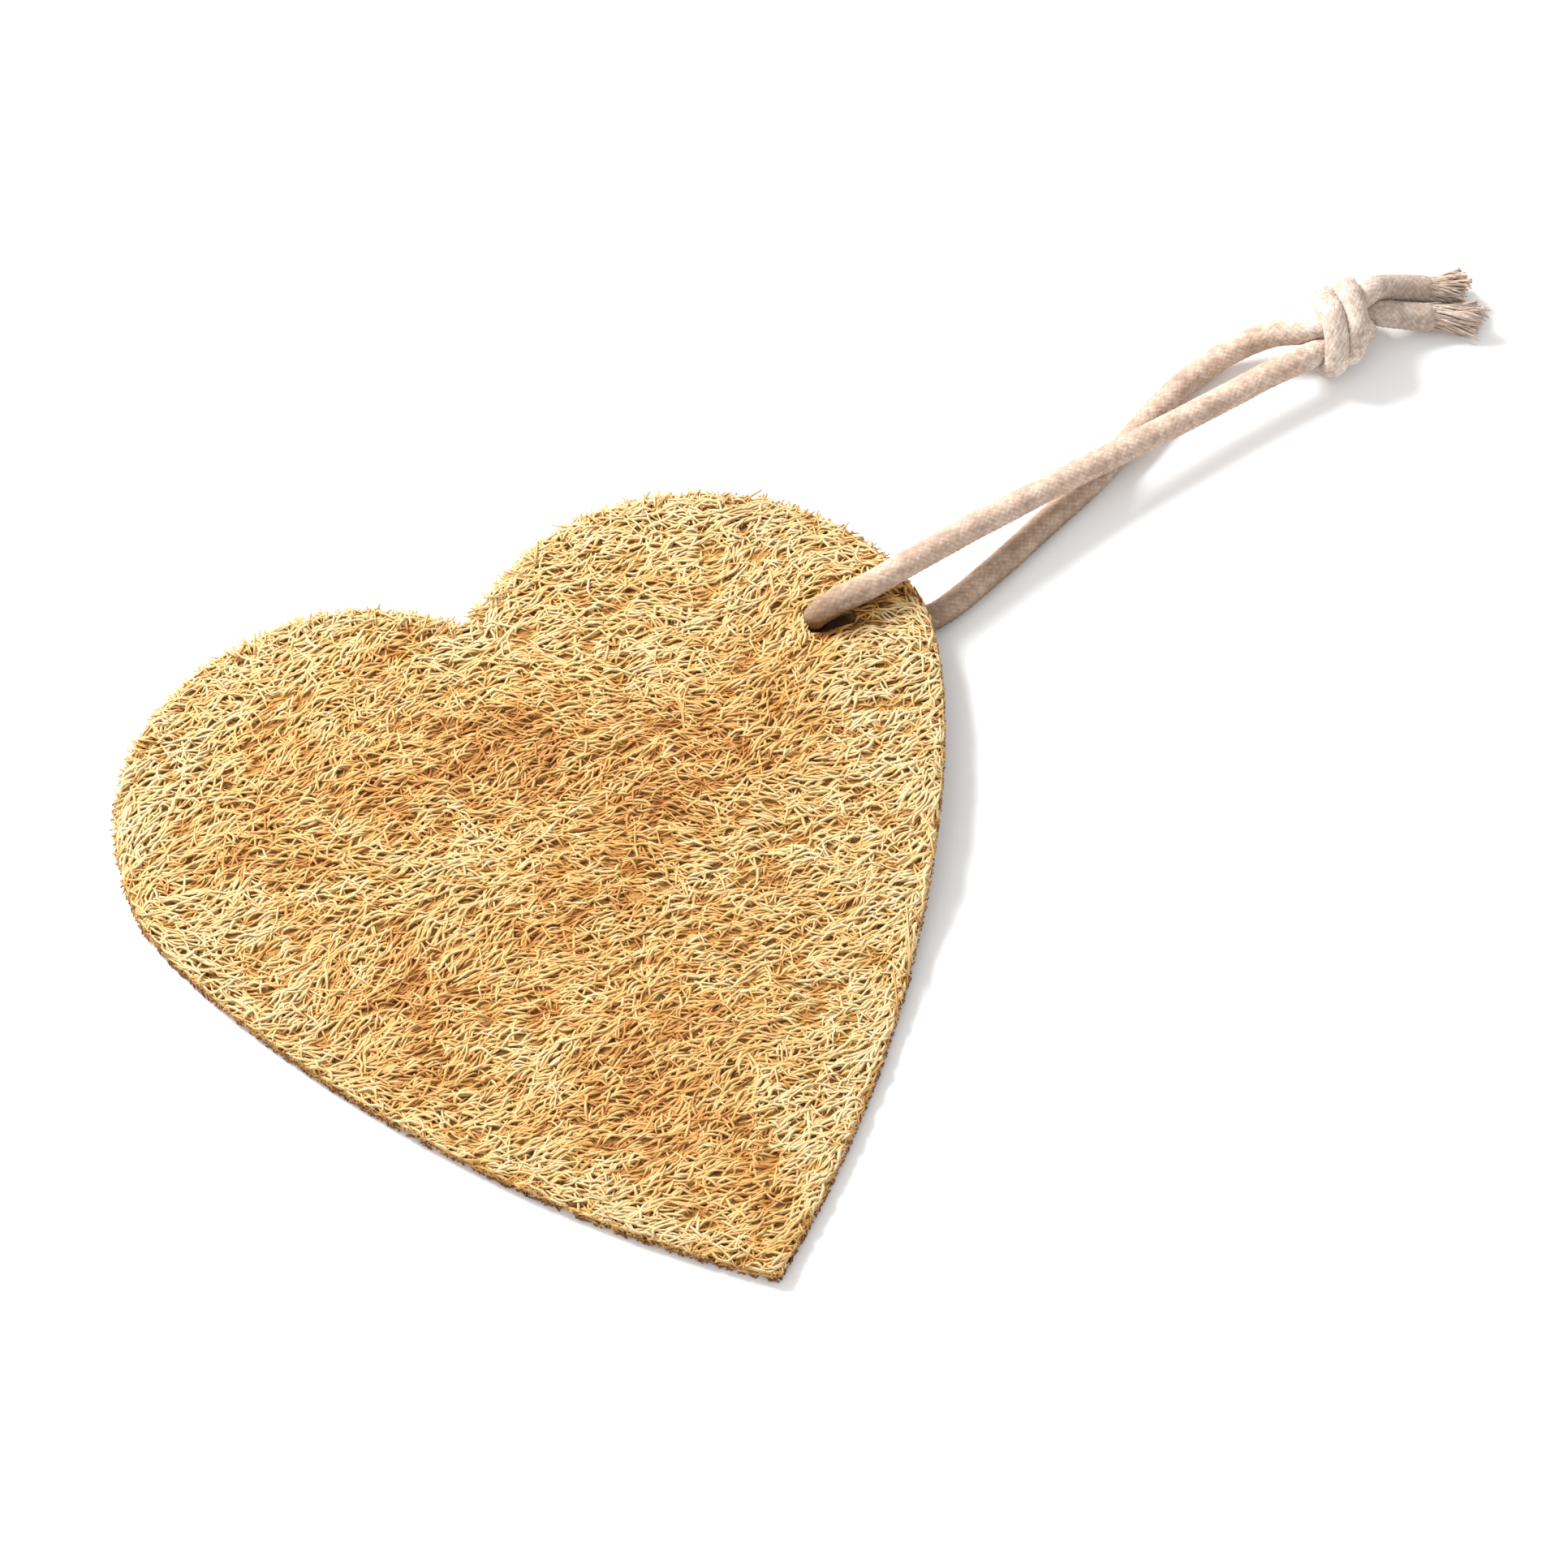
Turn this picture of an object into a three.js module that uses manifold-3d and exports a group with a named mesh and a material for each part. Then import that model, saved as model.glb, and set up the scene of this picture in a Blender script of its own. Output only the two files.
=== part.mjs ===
// A heart-shaped pad of pressed loofah with a cotton hanging cord. The cord goes through a
// hole in the right lobe, and its two legs are tied together in an overhand knot.
// Millimetres, +Z up. The heart's point is towards -Y, and the origin is under the middle
// of the pad, on the surface that it lies on.

import * as THREE from 'three';
import { mergeVertices } from 'three/addons/utils/BufferGeometryUtils.js';
import Module from 'manifold-3d';

// Heart outline: cubic curves from its point, each with two control points and an end
const tip = [0.5, -55.5];
const heartCurves = [
  [[36.5, -27], [54.5, 10.5], [54.5, 23.5]], // right flank to the widest place
  [[54.5, 40.5], [37.5, 53.5], [22, 53.5]], // right lobe to its top
  [[13.5, 53.5], [5, 49.5], [-0.5, 45.5]], // down into the notch
  [[-4, 47.5], [-11, 55.5], [-21, 55.5]], // up to the left lobe's top
  [[-38.5, 55.5], [-54.5, 45.5], [-54.5, 23.5]], // left lobe to the widest place
  [[-54.5, 12.5], [-33.5, -29.5], tip], // left flank to the point
];
const stepsPerCurve = 12;

// Pad section: crowned in the middle, with a rounded edge
const padCentre = [0, 3];
const middleThickness = 3.6;
const edgeThickness = 2.6;
const padRings = [0.2, 0.4, 0.6, 0.8, 0.92]; // reach from the centre to the outline
const edgeRounding = 1.2;
const edgeProfile = [[1, 0], [0.3, 0.15], [0, 0.5], [0.3, 0.85], [1, 1]]; // inset, level

// The right lobe is raised, because the back leg of the cord passes under it
const liftHeight = 4;
const liftHeading = [0.85, 0.53];
const liftStart = 6;
const liftEnd = 40;

// Cord hole in the right lobe
const hole = [41.1, 26.25];
const holeRadius = 2.95;
const holeSides = 20;

// Cord: one length, threaded through the hole
const cordDiameter = 3.5;
const cordSides = 8;
const loopSteps = 96;
const tailSteps = 6;

// Overhand knot, as a barrel along +X that touches the surface
const knotRadius = 5.75;
const knotFaceRadius = 4.6;
const knotBulge = 2 * knotRadius - knotFaceRadius; // control point of the barrel's curve
const knotHalfLength = 4.2;
const knotSides = 16;
const knotSteps = 6;
const knotCentre = [122.5, 42.05, 5.8];

// Front leg from the knot to the hole, over the pad; the turn in the hole; the back leg
// from under the pad to the knot again
const loopRoute = [
  [117.85, 39.9, 4.85],
  [115.8, 39.85, 4.9],
  [113.2, 39.4, 5.15],
  [110.0, 39.0, 5.1],
  [105.0, 38.2, 5.1],
  [99.9, 37.4, 5.2],
  [94.9, 36.6, 5.4],
  [88.0, 35.5, 5.7],
  [82.3, 34.6, 6.1],
  [74.7, 33.2, 6.8],
  [69.6, 32.1, 7.3],
  [64.5, 31.1, 7.8],
  [59.4, 29.9, 8.35],
  [54.3, 28.8, 8.75],
  [50.5, 27.95, 8.95],
  [48.0, 27.45, 9.0],
  [45.9, 27.2, 8.95],
  [43.7, 26.9, 8.8],
  [41.25, 26.45, 7.75],
  [40.2, 26.25, 5.3],
  [41.25, 26.0, 2.85],
  [43.7, 25.4, 1.8],
  [47.0, 24.6, 1.8],
  [51.5, 23.9, 1.8],
  [55.3, 23.9, 1.8],
  [58.5, 24.6, 1.8],
  [62.4, 26.0, 1.8],
  [68.1, 28.3, 1.8],
  [73.8, 30.8, 1.8],
  [82.4, 34.5, 1.8],
  [89.2, 38.0, 1.8],
  [97.9, 42.8, 1.8],
  [103.4, 44.8, 2.1],
  [108.6, 45.7, 2.9],
  [112.6, 45.2, 3.9],
  [115.6, 43.9, 5.5],
  [117.85, 43.65, 5.75],
];

const upperTailRoute = [
  [127.0, 45.0, 6.9],
  [128.4, 45.0, 6.85],
  [130.5, 45.35, 5.2],
  [133.5, 45.05, 3.75],
  [137.6, 44.15, 2.25],
  [142.0, 42.9, 1.95],
];

const lowerTailRoute = [
  [127.0, 41.6, 4.85],
  [128.4, 41.6, 4.8],
  [130.2, 41.75, 3.75],
  [132.5, 41.45, 2.75],
  [136.3, 39.9, 1.95],
  [142.0, 37.6, 1.8],
];

const wasm = await Module();
wasm.setup();

function toManifold(geometry) {
  geometry.deleteAttribute('normal');
  geometry.deleteAttribute('uv');
  const merged = mergeVertices(geometry);
  return new wasm.Manifold(new wasm.Mesh({
    numProp: 3,
    vertProperties: new Float32Array(merged.attributes.position.array),
    triVerts: new Uint32Array(merged.index.array),
  }));
}

function toGeometry(manifold) {
  const mesh = manifold.getMesh();
  const geometry = new THREE.BufferGeometry();
  geometry.setAttribute('position', new THREE.BufferAttribute(mesh.vertProperties, 3));
  geometry.setIndex(new THREE.BufferAttribute(mesh.triVerts, 1));
  geometry.computeVertexNormals();
  return geometry;
}

function heartOutline() {
  const heart = new THREE.Shape();
  heart.moveTo(...tip);
  for (const [first, second, end] of heartCurves) {
    heart.bezierCurveTo(...first, ...second, ...end);
  }
  const points = heart.getPoints(stepsPerCurve);
  points.pop();
  return points;
}

function liftAt(x, y) {
  const along = x * liftHeading[0] + y * liftHeading[1];
  return liftHeight * THREE.MathUtils.smoothstep(along, liftStart, liftEnd);
}

// A point of the pad: how far out from the centre, 0 to 1, and how high in the section
function padPoint(edge, reach, level) {
  const x = padCentre[0] + (edge.x - padCentre[0]) * reach;
  const y = padCentre[1] + (edge.y - padCentre[1]) * reach;
  const thickness = edgeThickness + (middleThickness - edgeThickness) * (1 - reach * reach);
  return [x, y, liftAt(x, y) + level * thickness];
}

// Rows of points run from the middle of the underside, round the edge, to the middle of the top
function padGeometry() {
  const outline = heartOutline();
  const centre = new THREE.Vector2(...padCentre);
  const rows = [];
  for (const reach of padRings) {
    rows.push(outline.map((edge) => padPoint(edge, reach, 0)));
  }
  for (const [inset, level] of edgeProfile) {
    rows.push(outline.map((edge) => {
      const reach = 1 - inset * edgeRounding / edge.distanceTo(centre);
      return padPoint(edge, reach, level);
    }));
  }
  for (const reach of padRings.toReversed()) {
    rows.push(outline.map((edge) => padPoint(edge, reach, 1)));
  }

  const count = outline.length;
  const underside = rows.length * count;
  const top = underside + 1;
  const positions = rows.flat(2);
  positions.push(...padPoint(centre, 0, 0), ...padPoint(centre, 0, 1));
  const lastRow = (rows.length - 1) * count;
  const index = [];
  for (let i = 0; i < count; i += 1) {
    const next = (i + 1) % count;
    index.push(underside, next, i);
    index.push(top, lastRow + i, lastRow + next);
    for (let row = 0; row < lastRow; row += count) {
      index.push(row + i, row + next, row + count + next);
      index.push(row + i, row + count + next, row + count + i);
    }
  }
  const geometry = new THREE.BufferGeometry();
  geometry.setAttribute('position', new THREE.Float32BufferAttribute(positions, 3));
  geometry.setIndex(index);
  return geometry;
}

function loofahPad() {
  const drillLength = 4 * (liftHeight + middleThickness);
  const drill = new THREE.CylinderGeometry(holeRadius, holeRadius, drillLength, holeSides);
  drill.rotateX(Math.PI / 2);
  drill.translate(hole[0], hole[1], liftHeight);
  return toGeometry(toManifold(padGeometry()).subtract(toManifold(drill)));
}

function cordTube(route, steps) {
  const path = new THREE.CatmullRomCurve3(route.map((point) => new THREE.Vector3(...point)));
  const section = new THREE.Shape();
  section.absarc(0, 0, cordDiameter / 2, 0, 2 * Math.PI);
  return new THREE.ExtrudeGeometry(section, {
    steps,
    extrudePath: path,
    curveSegments: cordSides / 2,
    bevelEnabled: false,
  });
}

function knotBarrel() {
  const profile = new THREE.Path();
  profile.moveTo(0, -knotHalfLength);
  profile.lineTo(knotFaceRadius, -knotHalfLength);
  profile.quadraticCurveTo(knotBulge, 0, knotFaceRadius, knotHalfLength);
  profile.lineTo(0, knotHalfLength);
  return new THREE.LatheGeometry(profile.getPoints(knotSteps), knotSides);
}

function finish(colour, roughness) {
  return new THREE.MeshStandardMaterial({ color: colour, roughness, metalness: 0 });
}

const sponge = new THREE.Group();

function addPiece(name, geometry, material) {
  const mesh = new THREE.Mesh(geometry, material);
  mesh.name = name;
  sponge.add(mesh);
  return mesh;
}

addPiece('loofah_pad', loofahPad(), finish(0xd9a85c, 0.8));
addPiece('hanging_cord', cordTube(loopRoute, loopSteps), finish(0xd8c0aa, 0.9));
addPiece('cord_tail_upper', cordTube(upperTailRoute, tailSteps), finish(0xcdbba6, 0.9));
addPiece('cord_tail_lower', cordTube(lowerTailRoute, tailSteps), finish(0xcdbba6, 0.9));

const knot = addPiece('cord_knot', knotBarrel(), finish(0xd0bca8, 0.9));
knot.position.set(...knotCentre);
knot.rotation.z = -Math.PI / 2;

export default sponge;
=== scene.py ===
import math

import bpy
import numpy as np
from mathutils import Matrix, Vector


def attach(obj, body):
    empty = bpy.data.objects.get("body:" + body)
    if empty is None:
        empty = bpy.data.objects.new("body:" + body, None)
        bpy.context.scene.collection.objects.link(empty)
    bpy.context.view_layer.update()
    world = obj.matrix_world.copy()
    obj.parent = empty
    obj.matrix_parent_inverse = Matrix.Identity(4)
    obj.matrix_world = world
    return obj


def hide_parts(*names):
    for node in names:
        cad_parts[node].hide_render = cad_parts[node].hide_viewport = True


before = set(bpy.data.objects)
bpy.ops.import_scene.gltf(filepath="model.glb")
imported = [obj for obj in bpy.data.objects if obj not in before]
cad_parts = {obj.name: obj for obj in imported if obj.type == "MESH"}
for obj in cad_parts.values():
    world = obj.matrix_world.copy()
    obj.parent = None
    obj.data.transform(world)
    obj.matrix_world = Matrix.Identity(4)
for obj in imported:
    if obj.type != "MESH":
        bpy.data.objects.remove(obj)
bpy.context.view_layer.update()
mm = 0.001  # lengths below are in millimetres, and meshes are made in metres
print("frame loaded:", ", ".join(sorted(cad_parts)))

# Camera at the photograph's angle
cameraSet = {
    "target": (28.74, 9.49, 0.0),  # middle of the picture
    "azimuth": -23.0,  # degrees
    "elevation": 60.0,
    "distance": 900.0,
    "pictureWidth": 200.35,  # width seen at the target
    "sensor": 36.0,
    "clip": (10.0, 20000.0),
}


def aimAt(thing, target, azimuth, elevation, distance):
    # stands a camera or a light off from its target, and turns it to face it
    turn = math.radians(azimuth)
    rise = math.radians(elevation)
    flat = math.cos(rise)
    back = Vector((math.sin(turn) * flat, -math.cos(turn) * flat, math.sin(rise)))
    thing.location = (Vector(target) + back * distance) * mm
    thing.rotation_mode = "QUATERNION"
    thing.rotation_quaternion = (-back).to_track_quat("-Z", "Y")
    bpy.context.scene.collection.objects.link(thing)


def makeCamera(look):
    lens = bpy.data.cameras.new("photoCamera")
    lens.sensor_width = look["sensor"]
    lens.lens = look["sensor"] * look["distance"] / look["pictureWidth"]
    lens.clip_start = look["clip"][0] * mm
    lens.clip_end = look["clip"][1] * mm
    camera = bpy.data.objects.new("photoCamera", lens)
    aimAt(camera, look["target"], look["azimuth"], look["elevation"], look["distance"])
    bpy.context.scene.camera = camera


makeCamera(cameraSet)
print("camera placed")


# Mesh helpers
def unit(vectors):
    return vectors / np.maximum(np.linalg.norm(vectors, axis=-1, keepdims=True), 1e-12)


def clamp(values):
    return np.clip(values, 0.0, 1.0)


def makePiece(name, points, faces, material, nodes, marks=None, strips=None):
    # faces is a list of index arrays, each with one number of corners; marks are point attributes
    mesh = bpy.data.meshes.new(name)
    mesh.vertices.add(len(points))
    mesh.vertices.foreach_set("co", (np.asarray(points, float) * mm).astype(np.float32).ravel())
    corners = np.concatenate([part.ravel() for part in faces]).astype(np.int32)
    sizes = np.concatenate([np.full(len(part), part.shape[1]) for part in faces])
    starts = np.concatenate([[0], np.cumsum(sizes)[:-1]]).astype(np.int32)
    mesh.loops.add(len(corners))
    mesh.loops.foreach_set("vertex_index", corners)
    mesh.polygons.add(len(sizes))
    mesh.polygons.foreach_set("loop_start", starts)
    mesh.polygons.foreach_set("use_smooth", np.ones(len(sizes), bool))
    for mark, values in (marks or {}).items():
        layer = mesh.attributes.new(mark, "FLOAT", "POINT")
        layer.data.foreach_set("value", np.asarray(values, np.float32).ravel())
    if strips is not None:
        layer = mesh.uv_layers.new(name="OFBake")
        layer.data.foreach_set("uv", np.asarray(strips, np.float32).ravel())
    mesh.update(calc_edges=True)
    mesh.materials.append(material)
    piece = bpy.data.objects.new(name, mesh)
    bpy.context.scene.collection.objects.link(piece)
    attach(piece, "root")
    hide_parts(*nodes)
    return piece


def travelled(path):
    return np.concatenate([[0.0], np.cumsum(np.linalg.norm(np.diff(path[:, :3], axis=0), axis=1))])


def alongPath(path, wanted):
    lengths = travelled(path)
    return np.stack([np.interp(wanted, lengths, column) for column in path.T], -1)


def evenSteps(path, step):
    whole = travelled(path)[-1]
    count = max(2, int(round(whole / step)) + 1)
    return alongPath(path, np.linspace(0.0, whole, count))


def blend(t, low, high, first, second):
    return (high - t) / (high - low) * first + (t - low) / (high - low) * second


curveSteps = 24  # between two points of a route


def smoothRoute(points, step):
    # centripetal curve through the points, then even steps along it; a fourth number is the radius
    route = np.array(points, float)
    route = np.vstack([2 * route[0] - route[1], route, 2 * route[-1] - route[-2]])
    gaps = np.linalg.norm(np.diff(route[:, :3], axis=0), axis=1)
    knots = np.concatenate([[0.0], np.cumsum(np.sqrt(gaps))])
    share = np.linspace(0.0, 1.0, curveSteps, endpoint=False)
    stretches = []
    for i in range(1, len(route) - 2):
        t0, t1, t2, t3 = knots[i - 1:i + 3]
        p0, p1, p2, p3 = route[i - 1:i + 3]
        t = (t1 + (t2 - t1) * share)[:, None]
        a1 = blend(t, t0, t1, p0, p1)
        a2 = blend(t, t1, t2, p1, p2)
        a3 = blend(t, t2, t3, p2, p3)
        b1 = blend(t, t0, t2, a1, a2)
        b2 = blend(t, t1, t3, a2, a3)
        stretches.append(blend(t, t1, t2, b1, b2))
    stretches.append(route[-2:-1])
    return evenSteps(np.vstack(stretches), step)


def carryFrames(path):
    # a side and an up vector at each point, carried along without twisting
    ahead = unit(np.gradient(path, axis=0))
    side = np.zeros_like(path)
    first = np.cross(ahead[0], (0.0, 0.0, 1.0))
    if np.linalg.norm(first) < 0.1:  # the path starts upright
        first = np.cross(ahead[0], (1.0, 0.0, 0.0))
    side[0] = first / np.linalg.norm(first)
    for i in range(1, len(path)):
        kept = side[i - 1] - ahead[i] * np.dot(side[i - 1], ahead[i])
        side[i] = kept / np.linalg.norm(kept)
    return ahead, side, np.cross(ahead, side)


def ringQuads(starts, sides):
    # faces from each ring of points, given by its first point's number, to the ring after it
    column = np.arange(sides)
    following = (column + 1) % sides
    row = starts[..., None]
    corners = [row + column, row + following, row + sides + following, row + sides + column]
    return np.stack(corners, -1).reshape(-1, 4)


def quadCorners(u0, v0, u1, v1):
    # texture places of the faces that ringQuads makes
    pairs = ((u0, v0), (u0, v1), (u1, v1), (u1, v0))
    return np.stack([np.stack(pair, -1) for pair in pairs], -2).reshape(-1, 2)


def fibreTubes(paths, halfWidths, halfHeights, sides):
    # closed tubes with a ridge on top, one for each path, with a patch of texture for each
    count, steps = paths.shape[:2]
    ahead = unit(np.gradient(paths, axis=1))
    level = np.zeros_like(ahead)
    level[..., 2] = 1.0
    side = unit(np.cross(level, ahead) + 1e-6)
    top = np.cross(ahead, side)
    angle = math.pi / 2 + 2 * math.pi / sides * np.arange(sides)
    wide = side[:, :, None] * (halfWidths[..., None] * np.cos(angle))[..., None]
    high = top[:, :, None] * (halfHeights[..., None] * np.sin(angle))[..., None]
    points = paths[:, :, None] + wide + high
    base = (np.arange(count) * steps * sides)[:, None]
    quads = ringQuads(base + np.arange(steps - 1) * sides, sides)
    firstCap = base + np.arange(sides)[::-1]
    lastCap = base + (steps - 1) * sides + np.arange(sides)
    caps = np.stack([firstCap, lastCap], 1).reshape(-1, sides)
    return points.reshape(-1, 3), [quads, caps], fibreStrips(count, steps, sides)


def fibreStrips(count, steps, sides):
    # texture places: a square patch for each fibre, with its caps at the patch's two edges
    margin = 0.06
    inner = 0.88
    capRadius = 0.02
    capMiddles = ((0.03, 0.2), (0.97, 0.2))
    columns = math.ceil(math.sqrt(count))
    index = np.arange(count)
    corner = np.stack([index % columns, index // columns], -1)[:, None] / columns
    k = np.arange(steps - 1)[:, None] / (steps - 1)
    c = np.arange(sides)[None, :] / sides
    u0 = np.broadcast_to(margin + inner * k, (steps - 1, sides))
    v0 = np.broadcast_to(margin + inner * c, (steps - 1, sides))
    quads = quadCorners(u0, v0, u0 + inner / (steps - 1), v0 + inner / sides)
    turn = 2 * np.pi / sides * np.arange(sides)
    ring = capRadius * np.stack([np.cos(turn), np.sin(turn)], -1)
    caps = np.vstack([ring + np.array(middle) for middle in capMiddles])
    return np.vstack([(corner + part / columns).reshape(-1, 2) for part in (quads, caps)])


# Material helpers
def feed(tree, socket, value):
    # a node's output is linked, and a plain value is set on the socket
    if isinstance(value, bpy.types.NodeSocket):
        tree.links.new(value, socket)
    else:
        socket.default_value = value


def addNode(tree, kind, settings=None, **inputs):
    node = tree.nodes.new(kind)
    for key, value in (settings or {}).items():
        setattr(node, key, value)
    for key, value in inputs.items():
        feed(tree, node.inputs[key.replace("_", " ")], value)
    return node


def mathNode(tree, operation, *values, clamped=False):
    node = addNode(tree, "ShaderNodeMath", {"operation": operation, "use_clamp": clamped})
    for socket, value in zip(node.inputs, values):
        feed(tree, socket, value)
    return node.outputs[0]


def mapRange(tree, value, low, high, most=1.0):
    node = addNode(tree, "ShaderNodeMapRange", Value=value, From_Min=low, From_Max=high, To_Max=most)
    return node.outputs["Result"]


def mixColour(tree, mode, factor, first, second):
    node = addNode(tree, "ShaderNodeMix", {"data_type": "RGBA", "blend_type": mode})
    for place, value in ((0, factor), (6, first), (7, second)):  # its colour sockets
        feed(tree, node.inputs[place], value)
    return node.outputs[2]


def pieceMark(tree, name):
    return addNode(tree, "ShaderNodeAttribute", {"attribute_name": name}).outputs["Fac"]


def colourRamp(tree, value, stops):
    node = addNode(tree, "ShaderNodeValToRGB", Fac=value)
    ramp = node.color_ramp
    while len(ramp.elements) > 1:
        ramp.elements.remove(ramp.elements[-1])
    ramp.elements[0].position = stops[0][0]
    ramp.elements[0].color = stops[0][1]
    for place, colour in stops[1:]:
        ramp.elements.new(place).color = colour
    return node.outputs["Color"]


def newGroup(name, inputs, outputs):
    group = bpy.data.node_groups.new(name, "ShaderNodeTree")
    for label, kind, value in inputs:
        socket = group.interface.new_socket(name=label, in_out="INPUT", socket_type=kind)
        socket.default_value = value
    for label, kind in outputs:
        group.interface.new_socket(name=label, in_out="OUTPUT", socket_type=kind)
    return group, group.nodes.new("NodeGroupInput"), group.nodes.new("NodeGroupOutput")


def newMaterial(name):
    material = bpy.data.materials.new(name)
    material.use_nodes = True
    tree = material.node_tree
    return material, tree, tree.nodes["Principled BSDF"]


# Fine streaks and specks of a dry plant or cotton fibre, by place on the piece
grainSet = {
    "fineDetail": 3.0,
    "fineRough": 0.6,
    "wideShare": 0.17,  # scale of the wide blotches, as a share of the fine one
    "wideDetail": 2.0,
    "wideRough": 0.5,
    "spread": (0.75, 1.25),
    "roughSpread": 0.16,
}


def fibreGrainGroup(look):
    group, given, out = newGroup(
        "fibreGrain",
        [
            ("Color", "NodeSocketColor", (0.8, 0.6, 0.3, 1)),
            ("Shade", "NodeSocketColor", (0.4, 0.2, 0.1, 1)),
            ("Scale", "NodeSocketFloat", 900.0),
            ("Amount", "NodeSocketFloat", 0.5),
            ("Rough", "NodeSocketFloat", 0.7),
        ],
        [
            ("Color", "NodeSocketColor"),
            ("Roughness", "NodeSocketFloat"),
            ("Height", "NodeSocketFloat"),
        ],
    )
    place = addNode(group, "ShaderNodeTexCoord").outputs["Object"]
    fine = addNode(group, "ShaderNodeTexNoise", Vector=place, Scale=given.outputs["Scale"],
                   Detail=look["fineDetail"], Roughness=look["fineRough"])
    wideScale = mathNode(group, "MULTIPLY", given.outputs["Scale"], look["wideShare"])
    wide = addNode(group, "ShaderNodeTexNoise", Vector=place, Scale=wideScale,
                   Detail=look["wideDetail"], Roughness=look["wideRough"])
    both = mathNode(group, "ADD", fine.outputs["Fac"], wide.outputs["Fac"])
    spread = mapRange(group, both, *look["spread"])
    amount = mathNode(group, "MULTIPLY", spread, given.outputs["Amount"])
    colour = mixColour(group, "MIX", amount, given.outputs["Color"], given.outputs["Shade"])
    rough = mathNode(group, "MULTIPLY_ADD", spread, look["roughSpread"], given.outputs["Rough"])
    group.links.new(colour, out.inputs["Color"])
    group.links.new(rough, out.inputs["Roughness"])
    group.links.new(fine.outputs["Fac"], out.inputs["Height"])
    return group


fibreGrain = fibreGrainGroup(grainSet)


def placeGrain(tree, colour, look):
    return addNode(tree, "ShaderNodeGroup", {"node_tree": fibreGrain}, Color=colour, Shade=look["shade"],
                   Scale=look["grainScale"], Amount=look["grainAmount"], Rough=look["rough"])


def finishMaterial(tree, shader, grain, colour, look):
    bump = addNode(tree, "ShaderNodeBump", Strength=look["bump"], Distance=look["bumpHeight"] * mm,
                   Height=grain.outputs["Height"])
    tree.links.new(colour, shader.inputs["Base Color"])
    tree.links.new(grain.outputs["Roughness"], shader.inputs["Roughness"])
    tree.links.new(bump.outputs["Normal"], shader.inputs["Normal"])
    shader.inputs["Specular IOR Level"].default_value = look["specular"]


# Undyed cotton: warm on the legs, browned near the hole partly by rubbing on the pad and partly by painted
# shade, paler at the knot and greyer on the tails
cottonLook = {
    "stages": [
        (0.0, (0.69, 0.515, 0.41, 1)),  # legs
        (0.5, (0.82, 0.71, 0.62, 1)),  # knot
        (1.0, (0.51, 0.425, 0.38, 1)),  # tails
    ],
    "rubbedAndShaded": (0.27, 0.165, 0.035, 1),  # darkens the cotton where it rubs on the pad, and paints shade on its lower side and along the back leg
    "grooveShadeAndTone": (0.25, 0.17, 0.12, 1),
    "pale": (0.74, 0.65, 0.56, 1),
    "paleFlecks": (0.45, 1.0, 0.5),  # flecks from and to, and how much they change
    "darkFlecks": (0.4, 0.0, 0.4),
    "shade": (0.30, 0.20, 0.14, 1),
    "grainScale": 1500.0,
    "grainAmount": 0.68,
    "rough": 0.78,
    "bump": 0.6,
    "bumpHeight": 0.16,
    "specular": 0.12,
    "sheen": 0.08,
    "sheenRough": 0.5,
}


def cottonMaterial(name, look, grooveShadeShare):
    material, tree, shader = newMaterial(name)
    fleck = pieceMark(tree, "fleck")
    base = colourRamp(tree, pieceMark(tree, "wear"), look["stages"])
    base = mixColour(tree, "MIX", mapRange(tree, fleck, *look["paleFlecks"]), base, look["pale"])
    base = mixColour(tree, "MIX", mapRange(tree, fleck, *look["darkFlecks"]), base, look["grooveShadeAndTone"])
    # painted shade in the low places between the braid's yarns; the same colour gives dark flecks, and a
    # random tone to each frayed yarn
    deep = mathNode(tree, "MULTIPLY", pieceMark(tree, "grooveShadeAndTone"), grooveShadeShare, clamped=True)
    base = mixColour(tree, "MIX", deep, base, look["grooveShadeAndTone"])
    grain = placeGrain(tree, base, look)
    brownedAndShaded = mixColour(tree, "MULTIPLY", pieceMark(tree, "rubAndShade"), grain.outputs["Color"], look["rubbedAndShaded"])
    finishMaterial(tree, shader, grain, brownedAndShaded, look)
    shader.inputs["Sheen Weight"].default_value = look["sheen"]
    shader.inputs["Sheen Roughness"].default_value = look["sheenRough"]
    return material


braidCotton = cottonMaterial("braidCotton", cottonLook, grooveShadeShare=0.6)
frayCotton = cottonMaterial("frayCotton", cottonLook, grooveShadeShare=0.5)
print("cotton materials made")

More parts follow.
